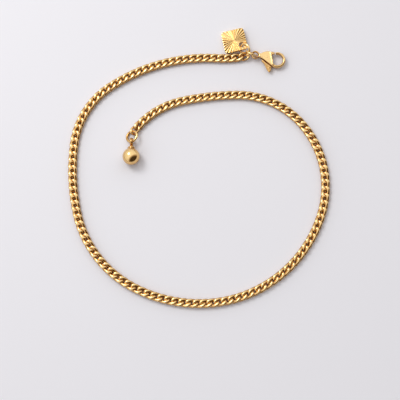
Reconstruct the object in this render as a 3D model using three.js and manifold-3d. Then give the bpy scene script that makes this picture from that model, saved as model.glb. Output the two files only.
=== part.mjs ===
// Chain anklet of gold-coloured metal, lying open on a flat surface.
// Millimetres, +Z up. The curb chain runs from a sunburst charm and a lever clasp round to a ball drop.
import * as THREE from 'three';
import { mergeVertices } from 'three/addons/utils/BufferGeometryUtils.js';
import Module from 'manifold-3d';

const wasm = await Module();
wasm.setup();

// Curb chain: each link is a stadium loop of round wire, twisted along its length.
const LINK = { pitch: 1.833, halfLength: 1.268, halfWidth: 0.84, wire: 0.62, twist: -84, stations: [24, 66] };
const LINK_SEGMENTS = 10;
const WIRE_SIDES = 5;
const LINK_COUNT = 127;
const HALF_COUNT = 64;
const MEETING_SLACK = 0.12;
const CHAIN_HEIGHT = 0.65;

// The way the chain lies: a first link, then stretches that each turn by a few degrees.
const ROUTE_START = { x: 11.6, y: 38.1, heading: -169.5 };
const ROUTE = [
  { links: 4, turn: -13.5 },
  { links: 16, turn: 37 },
  { links: 10, turn: 49.5 },
  { links: 10, turn: 19.5 },
  { links: 14, turn: 51 },
  { links: 10, turn: 28.5 },
  { links: 22, turn: 70.5 },
  { links: 14, turn: 59 },
  { links: 10, turn: 48.5 },
  { links: 8, turn: 12 },
  { links: 8, turn: 40 },
];

// The two end links lean over to take their rings.
const END_LEANS = new Map([
  [0, { lift: 0.13, roll: -15, pitch: 2 }],
  [LINK_COUNT - 1, { lift: 0.184, roll: -0.8, pitch: -11.4 }],
]);

// Jump rings: centre, middle radius of the wire, and how the ring leans.
// heading is the level direction across the ring, and lean its slope to the floor.
const RING_SIDES = 14;
const RING_WIRE_SIDES = 6;
const CHARM_RING = { x: 11.78, y: 39.7, z: 1.345, radius: 1.5, wire: 0.52, heading: -62.3, lean: 46.5 };
const CLASP_RING = { x: 13.475, y: 38.65, z: 1.507, radius: 1.38, wire: 0.5, heading: -26.6, lean: 109.5 };
const BALL_RING = { x: -17.712, y: 16.54, z: 1.024, radius: 1.46, wire: 0.62, heading: 245.1, lean: 30.1 };

// Sunburst charm: a square plate with soft corners, flutes that deepen outwards and a corner hole.
const CHARM = {
  x: 9.07, y: 42.27, z: 0.99, side: 6.1, thickness: 0.62, heading: 12, rise: 7.9,
  flutes: 28, fluteDepth: 0.2, cornerPower: 9, hole: 1.5, holeInset: 1.4, holeSides: 14,
};

// Ball drop: ball, collar and an eye that stands upright; its axis points at the ring.
const BALL = {
  x: -17.776, y: 11.053, diameter: 4.45, heading: 90, dip: 13.07, sides: 16, rows: 10, arc: 158,
};
const BALL_COLLAR = { width: 1.9, start: 2.02, end: 3.0, tipWidth: 0.78, tip: 3.25 };
const BALL_EYE = { radius: 0.78, wire: 0.56, centre: 4.15 };

// Clasp: local x runs from the eye to the nose, local y towards the gate.
const CLASP = { x: 14.57, y: 38.41, heading: -13, thickness: 1.9, slot: 1.0, bevel: 0.14 };
const CLASP_EYE = { radius: 0.9, wire: 0.46, height: 0.83 };
const CLASP_PIN = { x: 3.05, y: 0.1, diameter: 0.6, clearance: 0.07, inset: 0.1, sides: 10 };
const HOOK = {
  x: 5.9, y: -0.05, inner: 1.42, outer: 2.24, tipWidth: 0.7,
  start: -128, end: 116, thickness: 1.3, steps: 14,
};
const LEVER = { thickness: 0.7, webThickness: 0.4, tabThickness: 0.74, knuckle: 0.72, knuckleSides: 12 };
const BODY_OUTLINE = [
  { x: 0.85, y: -0.42 }, { x: 1.6, y: -0.5 }, { x: 2.6, y: -0.9 }, { x: 4.05, y: -1.62 },
  { x: 5.3, y: -2.22 }, { x: 5.15, y: -1.3 }, { x: 4.72, y: -1.05 }, { x: 4.42, y: 0.1 },
  { x: 4.02, y: 1.45 }, { x: 3.8, y: 1.66 }, { x: 2.9, y: 1.58 }, { x: 2.05, y: 1.22 },
  { x: 1.45, y: 0.7 }, { x: 0.85, y: 0.42 },
];
const SLOT_OUTLINE = [
  { x: 1.62, y: -2.6 }, { x: 5.02, y: -2.6 }, { x: 5.02, y: -0.6 }, { x: 5.6, y: 1.2 }, { x: 4.6, y: 2.6 },
  { x: 3.1, y: 2.6 }, { x: 2.7, y: 1.0 }, { x: 1.62, y: 0.1 },
];
const LEVER_OUTLINE = [
  { x: 3.55, y: 0.7 }, { x: 3.72, y: 1.3 }, { x: 4.15, y: 1.82 }, { x: 4.82, y: 1.74 }, { x: 4.97, y: 1.38 },
  { x: 4.35, y: 1.06 }, { x: 3.95, y: 0.4 }, { x: 3.7, y: -0.4 }, { x: 2.5, y: -0.4 }, { x: 2.5, y: 0.6 },
];
const WEB_OUTLINE = [
  { x: 2.2, y: -0.3 }, { x: 3.7, y: -0.3 }, { x: 4.22, y: -1.4 }, { x: 4.4, y: -2.25 },
  { x: 3.2, y: -1.75 }, { x: 2.1, y: -1.2 },
];
const BACK_RIDGE = [{ x: 2.05, y: -1.02 }, { x: 3.3, y: -1.72 }, { x: 4.66, y: -2.34 }];
const RIDGE_STEPS = 4;
const TAB_OUTLINE = [
  { x: 2.75, y: -1.85 }, { x: 4.9, y: -2.45 }, { x: 4.86, y: -3.1 }, { x: 4.72, y: -3.72 },
  { x: 4.45, y: -3.8 }, { x: 3.8, y: -3.25 },
];

// Points closer than this are one corner.
const WELD_DISTANCE = 1e-4;
const GOLD = { color: 0xd9a441, roughness: 0.22, metalness: 1.0 };

const radians = THREE.MathUtils.degToRad;

function solid(geometry) {
  const bare = geometry.index ? geometry.clone() : geometry;
  bare.deleteAttribute('normal');
  bare.deleteAttribute('uv');
  const joined = mergeVertices(bare, WELD_DISTANCE);
  return new wasm.Manifold(new wasm.Mesh({
    numProp: 3,
    vertProperties: joined.attributes.position.array,
    triVerts: new Uint32Array(joined.index.array),
  }));
}

function geometryOf(body) {
  const mesh = body.getMesh();
  const geometry = new THREE.BufferGeometry();
  geometry.setAttribute('position', new THREE.BufferAttribute(mesh.vertProperties, 3));
  geometry.setIndex(new THREE.BufferAttribute(mesh.triVerts, 1));
  geometry.computeVertexNormals();
  return geometry;
}

function joinAll(bodies) {
  return bodies.reduce((joined, body) => joined.add(body));
}

function piece(name, body) {
  const mesh = new THREE.Mesh(geometryOf(body), new THREE.MeshStandardMaterial(GOLD));
  mesh.name = name;
  return mesh;
}

// Corner points of one link's middle line, seen from above before the twist: the angle round an end.
function linkStations() {
  const flat = LINK.halfLength - LINK.halfWidth;
  const quarter = LINK.stations.map((angle) => ({
    x: flat + LINK.halfWidth * Math.cos(radians(angle)),
    y: LINK.halfWidth * Math.sin(radians(angle)),
    facing: radians(angle),
  }));
  const side = [...quarter, { x: 0, y: LINK.halfWidth, facing: Math.PI / 2 }];
  for (const spot of quarter.slice().reverse()) {
    side.push({ x: -spot.x, y: spot.y, facing: Math.PI - spot.facing });
  }
  const back = side.map((spot) => ({ x: -spot.x, y: -spot.y, facing: spot.facing + Math.PI }));
  return [...side, ...back];
}

// One ring of wire corners round each station, with a flat facing into the link.
function linkCorners() {
  return linkStations().map((spot) => {
    const twist = new THREE.Matrix4().makeRotationX(radians(LINK.twist / 2) * spot.x / LINK.halfLength);
    return Array.from({ length: WIRE_SIDES }, (unused, side) => {
      const round = 2 * Math.PI * side / WIRE_SIDES;
      const out = LINK.wire / 2 * Math.cos(round);
      const corner = new THREE.Vector3(
        spot.x + out * Math.cos(spot.facing),
        spot.y + out * Math.sin(spot.facing),
        LINK.wire / 2 * Math.sin(round),
      );
      return corner.applyMatrix4(twist);
    });
  });
}

function routePlaces() {
  const places = [{ x: ROUTE_START.x, y: ROUTE_START.y, heading: radians(ROUTE_START.heading) }];
  for (const stretch of ROUTE) {
    for (let step = 0; step < stretch.links; step += 1) {
      const last = places[places.length - 1];
      const turn = radians(stretch.turn) / stretch.links;
      const travel = LINK.pitch - (places.length === HALF_COUNT ? MEETING_SLACK : 0);
      const heading = last.heading + turn / 2;
      places.push({
        x: last.x + travel * Math.cos(heading),
        y: last.y + travel * Math.sin(heading),
        heading: last.heading + turn,
      });
    }
  }
  return places;
}

function linkAt(place, index) {
  const lean = END_LEANS.get(index) ?? { lift: 0, roll: 0, pitch: 0 };
  const turn = new THREE.Euler(radians(lean.roll), radians(lean.pitch), place.heading, 'ZYX');
  const matrix = new THREE.Matrix4().makeRotationFromEuler(turn);
  return matrix.setPosition(place.x, place.y, CHAIN_HEIGHT + lean.lift);
}

// Corners of the flat that faces into the link at an end: its two stations, its two wire corners.
const INNER_FLAT = [Math.floor(WIRE_SIDES / 2), Math.ceil(WIRE_SIDES / 2)];
const NOSE_FLAT = [[9, 0], [0, 0], [0, 1], [9, 1]];
const TAIL_FLAT = [[4, 0], [4, 1], [5, 1], [5, 0]];

// A run of links, each held to the next by a small joint between the two flats that face each other.
function fusedRun(places, firstIndex) {
  const points = [];
  const triangles = [];
  const corners = linkCorners();
  const number = (link, [station, flat]) => (link * LINK_SEGMENTS + station) * WIRE_SIDES + INNER_FLAT[flat];
  places.forEach((place, link) => {
    const matrix = linkAt(place, firstIndex + link);
    for (const ring of corners) {
      for (const corner of ring) points.push(...corner.clone().applyMatrix4(matrix).toArray());
    }
    const noseOpen = link < places.length - 1;
    const tailOpen = link > 0;
    for (let station = 0; station < LINK_SEGMENTS; station += 1) {
      const atNose = noseOpen && station === LINK_SEGMENTS - 1;
      const atTail = tailOpen && station === LINK_SEGMENTS / 2 - 1;
      for (let side = 0; side < WIRE_SIDES; side += 1) {
        if ((atNose || atTail) && side === INNER_FLAT[0]) continue;
        const here = (link * LINK_SEGMENTS + station) * WIRE_SIDES;
        const next = (link * LINK_SEGMENTS + (station + 1) % LINK_SEGMENTS) * WIRE_SIDES;
        const turned = (side + 1) % WIRE_SIDES;
        triangles.push(here + side, next + side, next + turned, here + side, next + turned, here + turned);
      }
    }
    if (!noseOpen) return;
    for (let edge = 0; edge < 4; edge += 1) {
      const after = (edge + 1) % 4;
      const near = number(link, NOSE_FLAT[edge]);
      const nearAfter = number(link, NOSE_FLAT[after]);
      const far = number(link + 1, TAIL_FLAT[edge]);
      const farAfter = number(link + 1, TAIL_FLAT[after]);
      triangles.push(near, nearAfter, farAfter, near, farAfter, far);
    }
  });
  const run = new THREE.BufferGeometry();
  run.setAttribute('position', new THREE.Float32BufferAttribute(points, 3));
  run.setIndex(triangles);
  return run;
}

function chainHalves() {
  const places = routePlaces();
  return [
    piece('chain_clasp_half', solid(fusedRun(places.slice(0, HALF_COUNT), 0))),
    piece('chain_ball_half', solid(fusedRun(places.slice(HALF_COUNT), HALF_COUNT))),
  ];
}

function jumpRing(name, ring) {
  const loop = new THREE.TorusGeometry(ring.radius, ring.wire / 2, RING_WIRE_SIDES, RING_SIDES);
  loop.rotateX(radians(ring.lean));
  loop.rotateZ(radians(ring.heading));
  loop.translate(ring.x, ring.y, ring.z);
  return piece(name, solid(loop));
}

// Distance from the plate's middle to its edge, along an angle.
function plateReach(angle) {
  const power = CHARM.cornerPower;
  const across = Math.abs(Math.cos(angle)) ** power + Math.abs(Math.sin(angle)) ** power;
  return CHARM.side / 2 / across ** (1 / power);
}

function flutedPlate() {
  const rim = 2 * CHARM.flutes;
  const points = [0, 0, CHARM.thickness / 2, 0, 0, -CHARM.thickness / 2];
  const triangles = [];
  for (let step = 0; step < rim; step += 1) {
    const angle = 2 * Math.PI * (step + 0.5) / rim + Math.PI / 4;
    const reach = plateReach(angle);
    const top = CHARM.thickness / 2 - (step % 2 ? CHARM.fluteDepth : 0);
    points.push(reach * Math.cos(angle), reach * Math.sin(angle), top);
    points.push(reach * Math.cos(angle), reach * Math.sin(angle), -CHARM.thickness / 2);
    const high = 2 + 2 * step;
    const nextHigh = 2 + 2 * ((step + 1) % rim);
    triangles.push(0, high, nextHigh, 1, nextHigh + 1, high + 1);
    triangles.push(high, high + 1, nextHigh + 1, high, nextHigh + 1, nextHigh);
  }
  const plate = new THREE.BufferGeometry();
  plate.setAttribute('position', new THREE.Float32BufferAttribute(points, 3));
  plate.setIndex(triangles);
  return plate;
}

function charm() {
  const corner = CHARM.side / 2 - CHARM.holeInset;
  const drill = upright(CHARM.hole, 3 * CHARM.thickness, CHARM.holeSides, { x: corner, y: -corner });
  const plate = geometryOf(solid(flutedPlate()).subtract(solid(drill)));
  // The plate rises towards the corner with the hole.
  plate.rotateZ(radians(45));
  plate.rotateY(radians(-CHARM.rise));
  plate.rotateZ(radians(CHARM.heading - 45));
  plate.translate(CHARM.x, CHARM.y, CHARM.z);
  return piece('charm', solid(plate));
}

function ballProfile() {
  const profile = [new THREE.Vector2(0, -BALL.diameter / 2)];
  for (let row = 1; row < BALL.rows; row += 1) {
    const angle = radians(BALL.arc * row / BALL.rows - 90);
    profile.push(new THREE.Vector2(Math.cos(angle) * BALL.diameter / 2, Math.sin(angle) * BALL.diameter / 2));
  }
  profile.push(new THREE.Vector2(BALL_COLLAR.width / 2, BALL_COLLAR.start));
  profile.push(new THREE.Vector2(BALL_COLLAR.width / 2, BALL_COLLAR.end));
  profile.push(new THREE.Vector2(BALL_COLLAR.tipWidth / 2, BALL_COLLAR.tip));
  profile.push(new THREE.Vector2(0, BALL_COLLAR.tip));
  return profile;
}

function ballDrop() {
  const body = new THREE.LatheGeometry(ballProfile(), BALL.sides);
  const eye = new THREE.TorusGeometry(BALL_EYE.radius, BALL_EYE.wire / 2, RING_WIRE_SIDES, RING_SIDES);
  eye.rotateY(Math.PI / 2);
  eye.translate(0, BALL_EYE.centre, 0);
  const drop = geometryOf(solid(body).add(solid(eye)));
  // The drop lies on its side: its own axis is turned level, dipped and swung to its heading.
  drop.rotateX(radians(-BALL.dip));
  drop.rotateZ(radians(BALL.heading - 90));
  drop.translate(BALL.x, BALL.y, BALL.diameter / 2);
  return piece('ball_drop', solid(drop));
}

function plateFrom(outline, thickness, bevel = 0) {
  const shape = new THREE.Shape(outline.map((point) => new THREE.Vector2(point.x, point.y)));
  const plate = new THREE.ExtrudeGeometry(shape, {
    depth: thickness - 2 * bevel,
    bevelEnabled: bevel > 0,
    bevelThickness: bevel,
    bevelSize: bevel,
    bevelOffset: -bevel,
    bevelSegments: 1,
    steps: 1,
  });
  plate.translate(0, 0, bevel - thickness / 2);
  return plate;
}

function upright(diameter, height, sides, spot) {
  const post = new THREE.CylinderGeometry(diameter / 2, diameter / 2, height, sides);
  post.rotateX(Math.PI / 2);
  post.translate(spot.x, spot.y, 0);
  return post;
}

function hookOutline() {
  const outside = [];
  const inside = [];
  const rootWidth = HOOK.outer - HOOK.inner;
  for (let step = 0; step <= HOOK.steps; step += 1) {
    const share = step / HOOK.steps;
    const angle = radians(HOOK.start + (HOOK.end - HOOK.start) * share);
    const width = rootWidth + (HOOK.tipWidth - rootWidth) * share;
    const spot = (reach) => ({ x: HOOK.x + reach * Math.cos(angle), y: HOOK.y + reach * Math.sin(angle) });
    outside.push(spot(HOOK.inner + width));
    inside.unshift(spot(HOOK.inner));
  }
  return outside.concat(inside);
}

function placeOnClasp(geometry) {
  geometry.rotateZ(radians(CLASP.heading));
  geometry.translate(CLASP.x, CLASP.y, CLASP.thickness / 2);
  return solid(geometry);
}

function claspBody() {
  const eye = new THREE.TorusGeometry(CLASP_EYE.radius, CLASP_EYE.wire / 2, RING_WIRE_SIDES, RING_SIDES);
  eye.scale(1, 1, CLASP_EYE.height / CLASP_EYE.wire);
  const cheeks = solid(plateFrom(BODY_OUTLINE, CLASP.thickness, CLASP.bevel));
  const slot = solid(plateFrom(SLOT_OUTLINE, CLASP.slot));
  const hook = solid(plateFrom(hookOutline(), HOOK.thickness, CLASP.bevel));
  const pinLength = CLASP.thickness - 2 * CLASP_PIN.inset;
  const pin = solid(upright(CLASP_PIN.diameter, pinLength, CLASP_PIN.sides, CLASP_PIN));
  const body = joinAll([cheeks.subtract(slot), hook, pin, solid(eye)]);
  return piece('clasp_body', placeOnClasp(geometryOf(body)));
}

function backRidge() {
  const path = new THREE.CatmullRomCurve3(BACK_RIDGE.map((point) => new THREE.Vector3(point.x, point.y, 0)));
  const section = new THREE.Shape();
  section.absarc(0, 0, LEVER.thickness / 2, 0, 2 * Math.PI);
  const bar = { steps: RIDGE_STEPS, curveSegments: RIDGE_STEPS, extrudePath: path };
  return new THREE.ExtrudeGeometry(section, bar);
}

function claspLever() {
  const arm = solid(plateFrom(LEVER_OUTLINE, LEVER.thickness));
  const web = solid(plateFrom(WEB_OUTLINE, LEVER.webThickness));
  const knuckle = solid(upright(2 * LEVER.knuckle, LEVER.thickness, LEVER.knuckleSides, CLASP_PIN));
  const tab = solid(plateFrom(TAB_OUTLINE, LEVER.tabThickness, CLASP.bevel));
  const boreWidth = CLASP_PIN.diameter + 2 * CLASP_PIN.clearance;
  const bore = solid(upright(boreWidth, CLASP.thickness, LEVER.knuckleSides, CLASP_PIN));
  const lever = joinAll([arm, web, knuckle, solid(backRidge()), tab]).subtract(bore);
  return piece('clasp_lever', placeOnClasp(geometryOf(lever)));
}

const anklet = new THREE.Group();
anklet.add(
  ...chainHalves(),
  charm(),
  jumpRing('charm_ring', CHARM_RING),
  jumpRing('clasp_ring', CLASP_RING),
  claspBody(),
  claspLever(),
  jumpRing('ball_ring', BALL_RING),
  ballDrop(),
);

// The origin is on the surface below the middle of the whole outline.
const outline = new THREE.Box3().setFromObject(anklet);
const middle = outline.getCenter(new THREE.Vector3());
anklet.position.set(-middle.x, -middle.y, -outline.min.z);

export default anklet;
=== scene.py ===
"""Looks of a fine gold-coloured curb chain anklet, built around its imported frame.

Lengths in the tables are millimetres on the paper that the anklet lies on: x to the right, y up
the picture, z up from the paper. SHIFT carries them into the frame, which is in metres.
"""

import math
from collections import namedtuple

import bpy
import numpy as np
from bpy.props import FloatProperty, FloatVectorProperty, IntProperty, PointerProperty
from mathutils import Euler, Matrix, Vector


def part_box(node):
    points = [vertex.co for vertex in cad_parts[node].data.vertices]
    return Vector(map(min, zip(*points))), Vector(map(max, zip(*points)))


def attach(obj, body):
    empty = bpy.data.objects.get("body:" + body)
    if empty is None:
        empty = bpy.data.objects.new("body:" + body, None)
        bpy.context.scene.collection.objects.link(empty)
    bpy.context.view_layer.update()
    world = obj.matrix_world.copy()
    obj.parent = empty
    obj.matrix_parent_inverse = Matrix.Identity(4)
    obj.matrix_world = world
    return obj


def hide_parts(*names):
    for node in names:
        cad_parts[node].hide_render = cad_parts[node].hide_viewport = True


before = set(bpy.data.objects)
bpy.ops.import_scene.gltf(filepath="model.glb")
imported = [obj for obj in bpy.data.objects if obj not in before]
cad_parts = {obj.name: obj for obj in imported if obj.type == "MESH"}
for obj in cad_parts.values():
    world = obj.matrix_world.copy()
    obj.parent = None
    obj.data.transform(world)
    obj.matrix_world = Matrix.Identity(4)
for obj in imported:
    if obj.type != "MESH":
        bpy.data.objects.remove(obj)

bl_info = {
    "name": "Chain Anklet",
    "version": (1, 0, 0),
    "blender": (4, 5, 0),
    "location": "3D View > Sidebar > Anklet",
    "description": "Makes a curb chain anklet with a fluted charm, a lever clasp and a ball drop",
    "category": "Add Mesh",
}

MM = 0.001
SHIFT = Vector((0.2968, -8.963, 0.0271))
CHAIN_BODY = "anklet"
LEVER_BODY = "lever"
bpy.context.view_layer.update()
BALL_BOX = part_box("ball_drop")

# Curb chain: links a pitch apart, each a twisted stadium of wire, filed flat above and below.
Link = namedtuple("Link", "half_length half_width wire filed")
LINK = Link(half_length=1.34, half_width=0.72, wire=0.86, filed=0.655)
END_LINK = Link(half_length=1.268, half_width=0.84, wire=0.6, filed=0.66)
PITCH = 1.833
HALVES_SLACK = 0.12
TWIST = -84.0
LINK_COUNT = 127
HALF_COUNT = 64
CHAIN_HEIGHT = 0.65
FILED_EDGE = 0.12

# The way the chain lies: a start, then stretches that each turn by a few degrees.
Stretch = namedtuple("Stretch", "links turn")
ROUTE_START = (11.6, 38.1, -169.5)
ROUTE = (
    Stretch(4, -13.5), Stretch(16, 37.0), Stretch(10, 49.5), Stretch(10, 19.5), Stretch(14, 51.0),
    Stretch(10, 28.5), Stretch(22, 70.5), Stretch(14, 59.0), Stretch(10, 48.5), Stretch(8, 12.0),
    Stretch(8, 40.0),
)
Lean = namedtuple("Lean", "lift roll pitch")
END_LEANS = {0: Lean(0.13, -15.0, 2.0), LINK_COUNT - 1: Lean(0.184, -0.8, -11.4)}
LEVEL = Lean(0.0, 0.0, 0.0)

# Jump rings: centre, radius of the wire's middle, wire, swing and lean in degrees.
Ring = namedtuple("Ring", "x y z radius wire heading lean cut")
RINGS = {
    "charm_ring": Ring(11.78, 39.7, 1.345, 1.5, 0.52, -62.3, 46.5, 150.0),
    "clasp_ring": Ring(13.475, 38.65, 1.507, 1.37, 0.48, -26.6, 109.5, 215.0),
    "ball_ring": Ring(-17.712, 16.54, 1.024, 1.46, 0.62, 245.1, 30.1, 20.0),
}
RING_CUT_ANGLE = 2.2

# Fluted square charm: flat back, flutes that deepen towards the edge, a hole in one corner.
Charm = namedtuple("Charm", "x y z side thickness heading rise flutes corner_power hole hole_inset")
CHARM = Charm(9.07, 42.27, 0.99, 6.08, 0.62, 12.0, 7.9, 28, 9.0, 1.5, 1.4)
# A flute takes up this share of its spacing round the charm; the rest stays flat. The rim is rounded
# over a small radius, and the flutes lose a part of their depth on the way over it.
FLUTE_WIDTH = 0.6
CHARM_RINGS = (0.03, 0.12, 0.24, 0.36, 0.48, 0.6, 0.72, 0.84, 0.93)
CHARM_RIM = 0.09
RIM_STEPS = 4
RIM_LOSS = 0.25
CHARM_BACK_RING = 0.5
CHARM_CORNER = 45.0

# Ball drop: its own axis runs from the ball through the collar to the eye.
Drop = namedtuple(
    "Drop",
    "x y heading dip collar_width collar_start collar_end eye_radius eye_wire eye_height eye_centre")
DROP = Drop(-17.776, 11.053, 90.0, 13.07, 1.9, 2.02, 3.0, 0.78, 0.56, 0.82, 4.15)
BALL_STEPS = 40
BALL_START = -89.5
BALL_ARC = 155.0
# Collar and neck, from the ball outwards: narrower than the collar, and farther than its start.
COLLAR_BENDS = ((0.06, 0.02), (0.0, 0.1), (0.0, 0.42), (0.06, 0.5), (0.26, 0.56), (0.42, 0.68))
# Neck and tip: radius as a share of the eye's wire, and distance from the collar's end.
NECK_BENDS = ((0.85, -0.1), (0.6, 0.2))
TIP = (0.02, 0.24)

# Clasp: local x runs from the eye to the nose, local y towards the gate.
Clasp = namedtuple("Clasp", "x y heading thickness slot")
CLASP = Clasp(14.57, 38.41, -13.0, 1.9, 1.0)
Eye = namedtuple("Eye", "radius wire height")
CLASP_EYE = Eye(0.9, 0.46, 0.83)
PIN = (3.05, 0.1)
PIN_DIAMETER = 0.6
PIN_INSET = 0.1
BORE_CLEARANCE = 0.07
BORE_DEPTH = 2.0
Hook = namedtuple("Hook", "x y inner outer tip_width start end thickness")
HOOK = Hook(5.9, -0.05, 1.42, 2.24, 0.7, -128.0, 116.0, 1.3)
CHEEK_OUTLINE = (
    (0.85, -0.42), (1.6, -0.5), (2.6, -0.9), (4.05, -1.62), (5.3, -2.22), (5.15, -1.3), (4.72, -1.05),
    (4.42, 0.1), (4.02, 1.45), (3.8, 1.66), (2.9, 1.58), (2.05, 1.22), (1.45, 0.7), (0.85, 0.42),
)
SLOT_OUTLINE = (
    (1.62, -2.6), (5.02, -2.6), (5.02, -0.6), (5.6, 1.2), (4.6, 2.6), (3.1, 2.6), (2.7, 1.0),
    (1.62, 0.1),
)
ARM_OUTLINE = (
    (3.55, 0.7), (3.72, 1.3), (4.15, 1.82), (4.82, 1.74), (4.97, 1.38), (4.35, 1.06), (3.95, 0.4),
    (3.7, -0.4), (2.5, -0.4), (2.5, 0.6),
)
WEB_OUTLINE = ((2.2, -0.3), (3.7, -0.3), (4.22, -1.4), (4.4, -2.25), (3.2, -1.75), (2.1, -1.2))
TAB_OUTLINE = ((2.75, -1.85), (4.9, -2.45), (4.86, -3.1), (4.72, -3.72), (4.45, -3.8), (3.8, -3.25))
BACK_RIDGE = ((2.05, -1.02), (3.3, -1.72), (4.66, -2.34))
TAB_SPINE = ((4.05, -2.5), (4.4, -3.0), (4.64, -3.46))
SPINE_RADIUS = 0.3
CHEEK_RIB = ((3.72, 1.5), (4.36, -0.15), (5.0, -1.75))
RIB_RADIUS = 0.2
RIB_RISE = 0.13
LEVER_THICKNESS = 0.7
WEB_THICKNESS = 0.4
TAB_THICKNESS = 0.34
KNUCKLE_RADIUS = 0.72
CHEEK_BEVEL = 0.36
CHEEK_BEVEL_STEPS = 5
RIDGE_STEPS = 12

# Camera: over the paper, tilted a little from straight down, aimed at the paper's middle.
CAMERA_HEIGHT = 241.855
CAMERA_TILT = 8.0
LENS = 85.0
SENSOR = 36.0
CLIP_START = 0.01

# Paper's half width, and the soft panel that lights it from the upper left, in metres and watts.
PAPER_REACH = 0.6
PANEL_PLACE = (-0.17, 0.16, 0.28)
PANEL_SIZE = 0.13
PANEL_POWER = 0.45
PANEL_COLOUR = (1.0, 0.985, 0.97)

# Light tent: brightness at its foot and its top, and its dark opening towards the low right.
TENT_FOOT = 0.84
TENT_TOP = 1.08
TENT_COLOUR = (0.975, 0.975, 1.0, 1.0)
OPENING_COLOUR = (1.0, 0.66, 0.34, 1.0)
OPENING_WAY = (0.6, -0.74, 0.3)
OPENING_EDGE = (0.26, 0.76)
OPENING_LIGHT = 0.06

# Patterns of the metal: pits and scratches a millimetre, where the cloud turns the polish dull, how
# much it then deepens the tone and roughens, and how high the bumps are.
PIT_SCALE = 9.0
SCRATCH_SCALE = (22.0, 3.0, 9.0)
DULL_EDGE = (0.52, 0.78)
DULL_TONE = 0.3
DULL_ROUGHNESS = 0.14
SCRATCH_ROUGHNESS = 0.05
METAL_BUMP = (0.12, 0.03 * MM)
PAPER_FIBRE = 3.0
PAPER_SHADE = 0.985
PAPER_BUMP = (0.05, 0.05 * MM)


class ChainSettings(bpy.types.PropertyGroup):
    """Sizes of the chain and its rings."""

    wire: FloatProperty(
        name="Wire", description="Thickness of the wire that the links are bent from",
        default=LINK.wire * MM, min=0.4 * MM, max=1.0 * MM, unit="LENGTH", precision=5)
    link_steps: IntProperty(
        name="Link steps", description="Rings of points along one link",
        default=36, min=12, max=48)
    wire_sides: IntProperty(
        name="Wire sides", description="Points round the wire of a link", default=12, min=8, max=16)


class DropSettings(bpy.types.PropertyGroup):
    """Sizes of the ball drop and of the charm's relief."""

    ball: FloatProperty(
        name="Ball", description="Diameter of the ball drop",
        default=BALL_BOX[1][2] - BALL_BOX[0][2], min=2 * MM, max=6 * MM, unit="LENGTH", precision=5)
    flute_depth: FloatProperty(
        name="Flute depth", description="How deep the charm's flutes are at its edge",
        default=0.195 * MM, min=0.02 * MM, max=0.3 * MM, unit="LENGTH", precision=5)


class FinishSettings(bpy.types.PropertyGroup):
    """Colours and polish of the metal, and colour of the paper."""

    gold: FloatVectorProperty(
        name="Gold", description="Colour of the polished metal", subtype="COLOR",
        default=(0.98, 0.69, 0.31), min=0.0, max=1.0)
    # colour of the duller cloud spots and also of the painted shade low on each piece
    dull_and_shade_gold: FloatVectorProperty(
        name="Deep gold", description="Colour of the metal where polish does not reach",
        subtype="COLOR", default=(0.55, 0.29, 0.09), min=0.0, max=1.0)
    polish: FloatProperty(
        name="Roughness", description="Roughness of the polished metal",
        default=0.12, min=0.02, max=0.6, subtype="FACTOR")
    paper: FloatVectorProperty(
        name="Paper", description="Colour of the surface below", subtype="COLOR",
        default=(0.852, 0.857, 0.9), min=0.0, max=1.0)


class Wired:
    """A node's socket that takes part in Python expressions: each step adds its Math node."""

    def __init__(self, maker, socket):
        self.maker = maker
        self.socket = socket

    def combine(self, operation, first, second):
        return self.maker.add("ShaderNodeMath", {"operation": operation}, {0: first, 1: second})

    def __add__(self, other):
        return self.combine("ADD", self, other)

    def __radd__(self, other):
        return self.combine("ADD", other, self)

    def __mul__(self, other):
        return self.combine("MULTIPLY", self, other)

    def or_more(self, other):
        return self.combine("MAXIMUM", self, other)


class FinishMaker:
    """Adds nodes to a material or to the room; add() is the only way that a node gets in."""

    def __init__(self, owner, shader):
        owner.use_nodes = True
        self.owner = owner
        self.nodes = owner.node_tree.nodes
        self.links = owner.node_tree.links
        self.shader = self.nodes[shader]

    @classmethod
    def metal_or_paper(cls, name):
        return cls(bpy.data.materials.new(name), "Principled BSDF")

    def add(self, kind, settings, inputs, output=0):
        node = self.nodes.new(kind)
        for key, value in settings.items():
            setattr(node, key, value)
        for key, value in inputs.items():
            self.feed(node.inputs[key], value)
        return Wired(self, node.outputs[output])

    def feed(self, socket, value):
        if isinstance(value, Wired):
            self.links.new(value.socket, socket)
        else:
            socket.default_value = value

    def soft_step(self, value, span, ends):
        """Runs softly from one end to the other while the value crosses the span."""
        return self.add(
            "ShaderNodeMapRange", {"interpolation_type": "SMOOTHSTEP"},
            {"Value": value, "From Min": span[0], "From Max": span[1], "To Min": ends[0],
             "To Max": ends[1]})

    def mix(self, share, colour, other):
        return self.add("ShaderNodeMix", {"data_type": "RGBA"}, {0: share, 6: colour, 7: other}, 2)

    def bump(self, height, size):
        strength, distance = size
        return self.add(
            "ShaderNodeBump", {}, {"Height": height, "Strength": strength, "Distance": distance})

    def along(self, way, direction):
        return self.add(
            "ShaderNodeVectorMath", {"operation": "DOT_PRODUCT"}, {0: way, 1: direction}, "Value")

    def surface(self, inputs):
        for key, value in inputs.items():
            self.feed(self.shader.inputs[key], value)
        return self.owner


def millimetres(maker):
    """Places on the piece, in millimetres, for patterns of a true size."""
    places = maker.add("ShaderNodeTexCoord", {}, {}, "Object")
    return maker.add("ShaderNodeVectorMath", {"operation": "SCALE"}, {0: places, "Scale": 1 / MM})


def noise(maker, places, scale, detail):
    return maker.add(
        "ShaderNodeTexNoise", {}, {"Vector": places, "Scale": scale, "Detail": detail}, "Fac")


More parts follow.
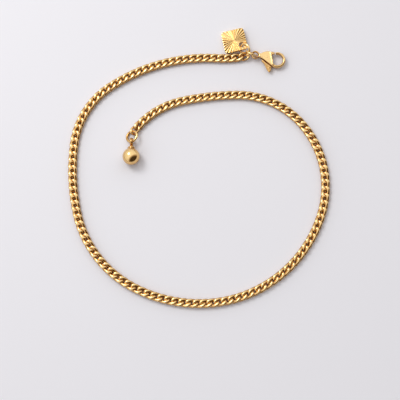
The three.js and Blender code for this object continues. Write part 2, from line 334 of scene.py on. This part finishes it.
def gold_finish(name, finish, scuff=0.25, pits=0.15, grain=2.2, painted_shade_heights=None):
    """Polished gold plate: cloudy tone, duller spots, fine scuffs, shallow casting pits, and a painted
    shade: a deeper tone below a height in millimetres, standing in for the shade and dark reflections
    low on each piece."""
    maker = FinishMaker.metal_or_paper(name)
    places = millimetres(maker)
    cloud = noise(maker, places, grain, 4.0)
    pit = noise(maker, places, PIT_SCALE, 2.0)
    stretched = maker.add(
        "ShaderNodeVectorMath", {"operation": "MULTIPLY"}, {0: places, 1: SCRATCH_SCALE})
    scratch = noise(maker, stretched, 1.0, 3.0)
    dull = maker.soft_step(cloud, DULL_EDGE, (0.0, 1.0))
    dull_and_painted_shade = dull * DULL_TONE
    # painted shade: below these heights in millimetres the colour runs into the deep gold, for the
    # shade and dark reflections on the lower sides
    if painted_shade_heights:
        level = maker.add("ShaderNodeSeparateXYZ", {}, {0: places}, "Z")
        dull_and_painted_shade = dull_and_painted_shade + maker.soft_step(level, painted_shade_heights, (1.0, 0.0))
    return maker.surface({
        "Base Color": maker.mix(dull_and_painted_shade, (*finish.gold, 1.0), (*finish.dull_and_shade_gold, 1.0)),
        "Metallic": 1.0,
        "Roughness": finish.polish + dull * DULL_ROUGHNESS + scratch * SCRATCH_ROUGHNESS,
        "Normal": maker.bump(scratch * scuff + pit * pits, METAL_BUMP),
    })


def paper_finish(finish):
    """Smooth white paper with a barely seen fibre."""
    maker = FinishMaker.metal_or_paper("white_paper")
    places = millimetres(maker)
    fibre = noise(maker, places, PAPER_FIBRE, 5.0)
    darker = [PAPER_SHADE * part for part in finish.paper]
    return maker.surface({
        "Base Color": maker.mix(fibre, (*darker, 1.0), (*finish.paper, 1.0)),
        "Roughness": 0.7,
        "Normal": maker.bump(fibre, PAPER_BUMP),
    })


def new_object(name, points, faces, smooth=True):
    """An object from points in frame metres."""
    mesh = bpy.data.meshes.new(name)
    mesh.from_pydata([tuple(point) for point in points], [], [tuple(face) for face in faces])
    mesh.polygons.foreach_set("use_smooth", [smooth] * len(mesh.polygons))
    mesh.update()
    piece = bpy.data.objects.new(name, mesh)
    bpy.context.scene.collection.objects.link(piece)
    return piece


def hand_over(piece, node, body, material):
    """Gives a finished piece its material, its body and the node that it stands for."""
    piece.data.materials.clear()
    piece.data.materials.append(material)
    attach(piece, body)
    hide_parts(node)


def on_frame(points):
    """Millimetres on the paper to metres in the frame."""
    return (np.asarray(points, dtype=float) + np.array(SHIFT)) * MM


def moved(points, matrix):
    turn = np.array(matrix.to_3x3())
    return np.asarray(points, dtype=float) @ turn.T + np.array(matrix.translation)


def tube_faces(rings, sides, closed):
    """Quads between the rings of a tube; an open tube gets two end caps."""
    faces = []
    for ring in range(rings if closed else rings - 1):
        after = (ring + 1) % rings
        for side in range(sides):
            turned = (side + 1) % sides
            faces.append((
                ring * sides + side, after * sides + side, after * sides + turned,
                ring * sides + turned))
    if not closed:
        faces.append(tuple(range(sides)))
        faces.append(tuple((rings - 1) * sides + side for side in reversed(range(sides))))
    return faces


def link_points(link, steps, sides):
    """One link about its own middle: rings of wire points round a stadium, twisted lengthwise."""
    flat = link.half_length - link.half_width
    half_round = math.pi * link.half_width
    around = 2 * half_round + 4 * flat
    points = []
    for step in range(steps):
        side, run = divmod(around * step / steps, half_round + 2 * flat)
        if run < half_round:
            facing = run / link.half_width - math.pi / 2
            x = flat + link.half_width * math.cos(facing)
            y = link.half_width * math.sin(facing)
        else:
            facing = math.pi / 2
            x = flat - (run - half_round)
            y = link.half_width
        if side:
            x, y, facing = -x, -y, facing + math.pi
        twist = Matrix.Rotation(math.radians(TWIST / 2) * x / link.half_length, 3, "X")
        for index in range(sides):
            angle = 2 * math.pi * index / sides
            out = link.wire / 2 * math.cos(angle)
            point = twist @ Vector((
                x + out * math.cos(facing), y + out * math.sin(facing),
                link.wire / 2 * math.sin(angle)))
            point.z = filed_flat(point.z, link.filed)
            points.append(point)
    return np.array(points)


def filed_flat(height, limit):
    """A height that runs into a flat at the limit, above and below, over a soft edge."""
    start = limit - FILED_EDGE
    over = abs(height) - start
    if over <= 0:
        return height
    return math.copysign(start + FILED_EDGE * math.tanh(over / FILED_EDGE), height)


def route_places():
    """Matrix of every link along the way that the chain lies."""
    x, y, heading = ROUTE_START
    places = [(x, y, heading)]
    for stretch in ROUTE:
        for _ in range(stretch.links):
            turn = stretch.turn / stretch.links
            travel = PITCH - (HALVES_SLACK if len(places) == HALF_COUNT else 0.0)
            course = math.radians(heading + turn / 2)
            x += travel * math.cos(course)
            y += travel * math.sin(course)
            heading += turn
            places.append((x, y, heading))
    matrices = []
    for index, (x, y, heading) in enumerate(places):
        lean = END_LEANS.get(index, LEVEL)
        turn = (
            Matrix.Rotation(math.radians(heading), 4, "Z")
            @ Matrix.Rotation(math.radians(lean.pitch), 4, "Y")
            @ Matrix.Rotation(math.radians(lean.roll), 4, "X")
        )
        matrices.append(Matrix.Translation((x, y, CHAIN_HEIGHT + lean.lift)) @ turn)
    return matrices


def chain_run(name, numbers, matrices, chain):
    """A joined mesh of the numbered links; the two that hold rings are of thinner wire."""
    steps, sides = chain.link_steps, chain.wire_sides
    common = link_points(LINK._replace(wire=chain.wire / MM), steps, sides)
    ending = link_points(END_LINK, steps, sides)
    link_faces = np.array(tube_faces(steps, sides, closed=True))
    points = [moved(ending if number in END_LEANS else common, matrices[number]) for number in numbers]
    faces = [link_faces + index * len(common) for index in range(len(numbers))]
    return new_object(name, on_frame(np.concatenate(points)), np.concatenate(faces).tolist())


def ring_run(name, ring, steps=72, sides=18):
    """A jump ring of round wire, cut through once and closed again."""
    first = math.radians(ring.cut + RING_CUT_ANGLE / 2)
    span = math.radians(360 - RING_CUT_ANGLE)
    points = []
    for step in range(steps + 1):
        angle = first + span * step / steps
        for index in range(sides):
            round_wire = 2 * math.pi * index / sides
            reach = ring.radius + ring.wire / 2 * math.cos(round_wire)
            points.append((
                reach * math.cos(angle), reach * math.sin(angle),
                ring.wire / 2 * math.sin(round_wire)))
    place = (
        Matrix.Translation((ring.x, ring.y, ring.z))
        @ Matrix.Rotation(math.radians(ring.heading), 4, "Z")
        @ Matrix.Rotation(math.radians(ring.lean), 4, "X")
    )
    return new_object(name, on_frame(moved(points, place)), tube_faces(steps + 1, sides, closed=False))


def plate_reach(angle):
    """Distance from the charm's middle to its edge, along an angle."""
    power = CHARM.corner_power
    across = abs(math.cos(angle)) ** power + abs(math.sin(angle)) ** power
    return CHARM.side / 2 / across ** (1 / power)


def charm_points(flute_depth, turns=336):
    """Fluted plate as rings from the top's middle over a soft rim to the back's middle."""
    top = CHARM.thickness / 2
    rings = [(share, 0.0, top, share) for share in CHARM_RINGS]
    for step in range(RIM_STEPS + 1):
        angle = math.pi / 2 * step / RIM_STEPS
        rings.append((
            1.0, CHARM_RIM * (math.sin(angle) - 1), top - CHARM_RIM * (1 - math.cos(angle)),
            1.0 - RIM_LOSS * step / RIM_STEPS))
    rings.append((1.0, 0.0, -top + CHARM_RIM, 0.0))
    rings.append((1.0, -CHARM_RIM, -top, 0.0))
    rings.append((CHARM_BACK_RING, 0.0, -top, 0.0))
    points = []
    for share, inset, height, depth in rings:
        for step in range(turns):
            angle = 2 * math.pi * step / turns + math.radians(CHARM_CORNER)
            ridge = abs(2 * (CHARM.flutes * step / turns % 1) - 1)
            groove = flute_depth * depth * max(0.0, 1 - ridge / FLUTE_WIDTH)
            reach = plate_reach(angle) * share + inset
            points.append((reach * math.cos(angle), reach * math.sin(angle), height - groove))
    return points, tube_faces(len(rings), turns, closed=False)


def carved(piece, cutter):
    """The piece with the cutter's shape taken out of it."""
    cut = piece.modifiers.new("hole", "BOOLEAN")
    cut.operation = "DIFFERENCE"
    cut.solver = "EXACT"
    cut.object = cutter
    settle(piece)
    bpy.data.objects.remove(cutter)


def settle(piece):
    """Puts the result of the piece's modifiers into its mesh."""
    bpy.context.view_layer.update()
    result = piece.evaluated_get(bpy.context.evaluated_depsgraph_get())
    shaped = bpy.data.meshes.new_from_object(result)
    piece.modifiers.clear()
    piece.data = shaped


def smooth_by_angle(piece, degrees):
    """Smooth shading, but for edges that are sharper than the angle."""
    piece.data.shade_smooth()
    piece.data.set_sharp_from_angle(angle=math.radians(degrees))


def lathe(profile, steps):
    """Points and faces of a profile of (radius, along) pairs turned about the local y axis."""
    points = []
    for radius, along in profile:
        for step in range(steps):
            angle = 2 * math.pi * step / steps
            points.append((radius * math.cos(angle), along, radius * math.sin(angle)))
    return points, tube_faces(len(profile), steps, closed=False)


def torus(radius, wire, steps, sides, height=None):
    """Points and faces of a ring that lies level about the middle."""
    tall = height or wire
    points = []
    for step in range(steps):
        angle = 2 * math.pi * step / steps
        for index in range(sides):
            round_wire = 2 * math.pi * index / sides
            reach = radius + wire / 2 * math.cos(round_wire)
            points.append((
                reach * math.cos(angle), reach * math.sin(angle), tall / 2 * math.sin(round_wire)))
    return points, tube_faces(steps, sides, closed=True)


def plate(outline, thickness):
    """Points and faces of a flat plate about z 0."""
    count = len(outline)
    points = [(x, y, z) for z in (-thickness / 2, thickness / 2) for x, y in outline]
    faces = [tuple(reversed(range(count))), tuple(range(count, 2 * count))]
    for index in range(count):
        after = (index + 1) % count
        faces.append((index, after, count + after, count + index))
    return points, faces


def hook_tube(steps=40, sides=20):
    """Points and faces of the hook: an oval section that thins towards the tip."""
    points = []
    for step in range(steps + 1):
        share = step / steps
        angle = math.radians(HOOK.start + (HOOK.end - HOOK.start) * share)
        width = (HOOK.outer - HOOK.inner) * (1 - share) + HOOK.tip_width * share
        for index in range(sides):
            across = 2 * math.pi * index / sides
            reach = HOOK.inner + width / 2 + width / 2 * rounded(math.cos(across))
            tall = HOOK.thickness / 2 * rounded(math.sin(across))
            points.append((HOOK.x + reach * math.cos(angle), HOOK.y + reach * math.sin(angle), tall))
    return points, tube_faces(steps + 1, sides, closed=False)


def rounded(value, power=0.95):
    """A cosine or sine made fuller, for a section between an oval and a box."""
    return math.copysign(abs(value) ** power, value)


def merged(*parts):
    """Several lists of points and faces as one."""
    points, faces = [], []
    for part_points, part_faces in parts:
        faces += [tuple(corner + len(points) for corner in face) for face in part_faces]
        points += list(part_points)
    return points, faces


def cast(piece, voxel, passes, rounding=0.5):
    """Grows the joined shapes of a piece in millimetres into one soft-edged casting."""
    skin = piece.modifiers.new("casting", "REMESH")
    skin.mode = "VOXEL"
    skin.voxel_size = voxel
    skin.use_smooth_shade = True
    polish = piece.modifiers.new("polish", "SMOOTH")
    polish.factor = rounding
    polish.iterations = passes
    settle(piece)
    piece.data.shade_smooth()


def clasp_place():
    """From the clasp's own millimetres to the frame."""
    return (
        Matrix.Scale(MM, 4)
        @ Matrix.Translation(Vector((CLASP.x, CLASP.y, CLASP.thickness / 2)) + SHIFT)
        @ Matrix.Rotation(math.radians(CLASP.heading), 4, "Z")
    )


def upright(spot, radius, height, sides=40):
    """Points and faces of a round post about z 0."""
    outline = [
        (spot[0] + radius * math.cos(2 * math.pi * index / sides),
         spot[1] + radius * math.sin(2 * math.pi * index / sides))
        for index in range(sides)
    ]
    return plate(outline, height)


def ridge_tube(path, radius, sides=14):
    """Points and faces of a bar along a bent path, with round ends."""
    curve = [bent_point(path, step / RIDGE_STEPS) for step in range(RIDGE_STEPS + 1)]
    points = []
    for index, spot in enumerate(curve):
        ahead = curve[min(index + 1, RIDGE_STEPS)] - curve[max(index - 1, 0)]
        ahead = Vector((ahead[0], ahead[1], 0)).normalized()
        across = Vector((-ahead.y, ahead.x, 0))
        for side in range(sides):
            angle = 2 * math.pi * side / sides
            offset = across * (radius * math.cos(angle))
            offset.z = radius * math.sin(angle)
            points.append((spot[0] + offset.x, spot[1] + offset.y, offset.z))
    return points, tube_faces(RIDGE_STEPS + 1, sides, closed=False)


def bent_point(path, share):
    """A place on the smooth bend through a start, a middle and an end."""
    start, middle, end = (np.array(spot) for spot in path)
    handle = 2 * middle - (start + end) / 2
    return (1 - share) ** 2 * start + 2 * share * (1 - share) * handle + share ** 2 * end


class ANKLET_OT_chain(bpy.types.Operator):
    """Make both halves of the curb chain"""

    bl_idname = "anklet.chain"
    bl_label = "Curb Chain"

    def execute(self, context):
        chain = context.scene.anklet_chain
        # painted shade: the links turn deeper below 1.4 mm up, fully below 0.75 mm
        finish = gold_finish(
            "chain_gold", context.scene.anklet_finish, grain=1.1, painted_shade_heights=(0.75, 1.4))
        matrices = route_places()
        halves = {
            "chain_clasp_half": range(HALF_COUNT),
            "chain_ball_half": range(HALF_COUNT, LINK_COUNT),
        }
        for node, numbers in halves.items():
            links = chain_run(node + "_links", numbers, matrices, chain)
            hand_over(links, node, CHAIN_BODY, finish)
        return {"FINISHED"}


class ANKLET_OT_rings(bpy.types.Operator):
    """Make the three jump rings"""

    bl_idname = "anklet.rings"
    bl_label = "Jump Rings"

    def execute(self, context):
        # painted shade: the rings turn deeper below 1.9 mm up, fully below 0.3 mm
        finish = gold_finish(
            "ring_gold", context.scene.anklet_finish, scuff=0.4, painted_shade_heights=(0.3, 1.9))
        for node, ring in RINGS.items():
            piece = ring_run(node + "_wire", ring)
            smooth_by_angle(piece, 50)
            hand_over(piece, node, CHAIN_BODY, finish)
        return {"FINISHED"}


class ANKLET_OT_charm(bpy.types.Operator):
    """Make the square charm with its sunburst of flutes"""

    bl_idname = "anklet.charm"
    bl_label = "Fluted Charm"

    def execute(self, context):
        depth = context.scene.anklet_drop.flute_depth / MM
        points, faces = charm_points(depth)
        charm = new_object("charm_plate", points, faces)
        corner = CHARM.side / 2 - CHARM.hole_inset
        hole_points, hole_faces = upright((corner, -corner), CHARM.hole / 2, 3 * CHARM.thickness)
        carved(charm, new_object("charm_drill", hole_points, hole_faces))
        place = (
            Matrix.Scale(MM, 4)
            @ Matrix.Translation(Vector((CHARM.x, CHARM.y, CHARM.z)) + SHIFT)
            @ Matrix.Rotation(math.radians(CHARM.heading - CHARM_CORNER), 4, "Z")
            @ Matrix.Rotation(math.radians(-CHARM.rise), 4, "Y")
            @ Matrix.Rotation(math.radians(CHARM_CORNER), 4, "Z")
        )
        charm.data.transform(place)
        smooth_by_angle(charm, 28)
        finish = gold_finish("charm_gold", context.scene.anklet_finish, scuff=0.5, pits=0.3)
        hand_over(charm, "charm", CHAIN_BODY, finish)
        return {"FINISHED"}


class ANKLET_OT_clasp(bpy.types.Operator):
    """Make the clasp's cast body and its lever"""

    bl_idname = "anklet.clasp"
    bl_label = "Lever Clasp"

    def execute(self, context):
        # painted shade: the clasp's sides and lever turn deeper below 1.95 mm up, fully below 0.75 mm,
        # for dark outlines
        finish = gold_finish(
            "clasp_gold", context.scene.anklet_finish, scuff=0.3, pits=1.4, painted_shade_heights=(0.75, 1.95))
        self.make_body(finish)
        self.make_lever(finish)
        return {"FINISHED"}

    def make_body(self, finish):
        thickness = CLASP.thickness - 2 * RIB_RISE
        cheeks = new_object("clasp_casting", *plate(CHEEK_OUTLINE, thickness))
        soft = cheeks.modifiers.new("edges", "BEVEL")
        soft.width = CHEEK_BEVEL
        soft.segments = CHEEK_BEVEL_STEPS
        settle(cheeks)
        carved(cheeks, new_object("slot_cutter", *plate(SLOT_OUTLINE, CLASP.slot)))
        rib_points, rib_faces = ridge_tube(CHEEK_RIB, RIB_RADIUS)
        rib_height = CLASP.thickness / 2 - RIB_RADIUS
        shapes = merged(
            ([vertex.co[:] for vertex in cheeks.data.vertices],
             [face.vertices[:] for face in cheeks.data.polygons]),
            ([(x, y, z + rib_height) for x, y, z in rib_points], rib_faces),
            ([(x, y, z - rib_height) for x, y, z in rib_points], rib_faces),
            hook_tube(),
            torus(CLASP_EYE.radius, CLASP_EYE.wire, 48, 16, CLASP_EYE.height),
            upright(PIN, PIN_DIAMETER / 2, CLASP.thickness - 2 * PIN_INSET),
        )
        bpy.data.objects.remove(cheeks)
        body = new_object("clasp_casting", *shapes)
        cast(body, voxel=0.045, passes=5)
        body.data.transform(clasp_place())
        hand_over(body, "clasp_body", CHAIN_BODY, finish)

    def make_lever(self, finish):
        shapes = merged(
            plate(ARM_OUTLINE, LEVER_THICKNESS),
            plate(WEB_OUTLINE, WEB_THICKNESS),
            upright(PIN, KNUCKLE_RADIUS, LEVER_THICKNESS),
            plate(TAB_OUTLINE, TAB_THICKNESS),
            ridge_tube(BACK_RIDGE, LEVER_THICKNESS / 2),
            ridge_tube(TAB_SPINE, SPINE_RADIUS),
        )
        lever = new_object("lever_casting", *shapes)
        cast(lever, voxel=0.045, passes=8)
        bore_radius = PIN_DIAMETER / 2 + BORE_CLEARANCE
        carved(lever, new_object("pin_bore", *upright(PIN, bore_radius, BORE_DEPTH)))
        lever.data.transform(clasp_place())
        smooth_by_angle(lever, 50)
        hand_over(lever, "clasp_lever", LEVER_BODY, finish)


class ANKLET_OT_ball(bpy.types.Operator):
    """Make the ball drop with its collar and eye"""

    bl_idname = "anklet.ball"
    bl_label = "Ball Drop"

    def execute(self, context):
        radius = context.scene.anklet_drop.ball / MM / 2
        eye_points, eye_faces = torus(DROP.eye_radius, DROP.eye_wire, 64, 20, DROP.eye_height)
        on_edge = [(z, y + DROP.eye_centre, -x) for x, y, z in eye_points]
        turned = lathe(self.profile(radius), 96)
        drop = new_object("ball_and_eye", *merged(turned, (on_edge, eye_faces)))
        place = (
            Matrix.Scale(MM, 4)
            @ Matrix.Translation(Vector((DROP.x, DROP.y, radius)) + SHIFT)
            @ Matrix.Rotation(math.radians(DROP.heading - 90), 4, "Z")
            @ Matrix.Rotation(math.radians(-DROP.dip), 4, "X")
        )
        drop.data.transform(place)
        smooth_by_angle(drop, 40)
        # painted shade: the ball turns deeper below 4.5 mm up, fully below 1.7 mm
        finish = gold_finish(
            "ball_gold", context.scene.anklet_finish, scuff=0.15, pits=0.05, painted_shade_heights=(1.7, 4.5))
        hand_over(drop, "ball_drop", CHAIN_BODY, finish)
        return {"FINISHED"}

    def profile(self, radius):
        """Radius and place along the axis, from the ball's far end to the tip inside the eye."""
        places = []
        for step in range(BALL_STEPS + 1):
            angle = math.radians(BALL_START + BALL_ARC * step / BALL_STEPS)
            places.append((radius * math.cos(angle), radius * math.sin(angle)))
        for narrower, farther in COLLAR_BENDS:
            places.append((DROP.collar_width / 2 - narrower, DROP.collar_start + farther))
        for share, farther in NECK_BENDS:
            places.append((DROP.eye_wire * share, DROP.collar_end + farther))
        return places + [(TIP[0], DROP.collar_end + TIP[1])]


class ANKLET_OT_stage(bpy.types.Operator):
    """Lay the paper, hang the light and set the camera"""

    bl_idname = "anklet.stage"
    bl_label = "Paper, Light and Camera"

    def execute(self, context):
        scene = context.scene
        signs = ((-1, -1), (1, -1), (1, 1), (-1, 1))
        corners = [(PAPER_REACH * x, PAPER_REACH * y, 0.0) for x, y in signs]
        paper = new_object("paper", corners, [(0, 1, 2, 3)], smooth=False)
        paper.data.materials.append(paper_finish(scene.anklet_finish))
        self.hang_panel(scene)
        self.fill_room(scene)
        self.set_camera(scene)
        scene.view_settings.view_transform = "Standard"
        return {"FINISHED"}

    def hang_panel(self, scene):
        """A square soft light that faces the anklet."""
        light = bpy.data.lights.new("key_panel", "AREA")
        light.shape = "SQUARE"
        light.size = PANEL_SIZE
        light.energy = PANEL_POWER
        light.color = PANEL_COLOUR
        lamp = bpy.data.objects.new("key_panel", light)
        lamp.location = PANEL_PLACE
        lamp.rotation_euler = (-Vector(PANEL_PLACE)).to_track_quat("-Z", "Y").to_euler()
        scene.collection.objects.link(lamp)

    def fill_room(self, scene):
        """A white tent, brighter overhead, with a dark opening that only reflections show."""
        maker = FinishMaker(bpy.data.worlds.new("room"), "Background")
        way = maker.add("ShaderNodeTexCoord", {}, {}, "Generated")
        height = maker.along(way, (0, 0, 1))
        near = maker.along(way, OPENING_WAY)
        cloth = maker.soft_step(near, OPENING_EDGE, (1.0, OPENING_LIGHT))
        seen = maker.add("ShaderNodeLightPath", {}, {}, "Is Camera Ray")
        cloth = cloth.or_more(seen)
        tent = (height * (TENT_TOP - TENT_FOOT) + TENT_FOOT) * cloth
        tint = maker.mix(cloth, OPENING_COLOUR, TENT_COLOUR)
        scene.world = maker.surface({"Color": tint, "Strength": tent})

    def set_camera(self, scene):
        lens = bpy.data.cameras.new("camera")
        lens.lens = LENS
        lens.sensor_width = SENSOR
        lens.clip_start = CLIP_START
        camera = bpy.data.objects.new("camera", lens)
        tilt = math.radians(CAMERA_TILT)
        place = Vector((0.0, -CAMERA_HEIGHT * math.tan(tilt), CAMERA_HEIGHT))
        camera.location = (place + SHIFT) * MM
        camera.rotation_euler = Euler((tilt, 0.0, 0.0))
        scene.collection.objects.link(camera)
        scene.camera = camera


class ANKLET_PT_panel(bpy.types.Panel):
    """Lists the anklet's sizes, finishes and makers"""

    bl_idname = "ANKLET_PT_panel"
    bl_label = "Chain Anklet"
    bl_space_type = "VIEW_3D"
    bl_region_type = "UI"
    bl_category = "Anklet"

    def draw(self, context):
        scene = context.scene
        for group in (scene.anklet_chain, scene.anklet_drop, scene.anklet_finish):
            box = self.layout.box()
            for key in group.bl_rna.properties.keys():
                if key not in ("rna_type", "name"):
                    box.prop(group, key)
        for maker in MAKERS:
            self.layout.operator(maker.bl_idname)


MAKERS = (
    ANKLET_OT_stage, ANKLET_OT_chain, ANKLET_OT_rings, ANKLET_OT_charm, ANKLET_OT_clasp,
    ANKLET_OT_ball,
)
SETTINGS = {
    "anklet_chain": ChainSettings,
    "anklet_drop": DropSettings,
    "anklet_finish": FinishSettings,
}


def register():
    for kind in (*SETTINGS.values(), *MAKERS, ANKLET_PT_panel):
        bpy.utils.register_class(kind)
    for name, kind in SETTINGS.items():
        setattr(bpy.types.Scene, name, PointerProperty(type=kind))


def unregister():
    for name in SETTINGS:
        delattr(bpy.types.Scene, name)
    for kind in reversed((*SETTINGS.values(), *MAKERS, ANKLET_PT_panel)):
        bpy.utils.unregister_class(kind)


def main():
    register()
    bpy.ops.anklet.stage()
    bpy.ops.anklet.chain()
    bpy.ops.anklet.rings()
    bpy.ops.anklet.charm()
    bpy.ops.anklet.clasp()
    bpy.ops.anklet.ball()


if __name__ == "__main__":
    main()
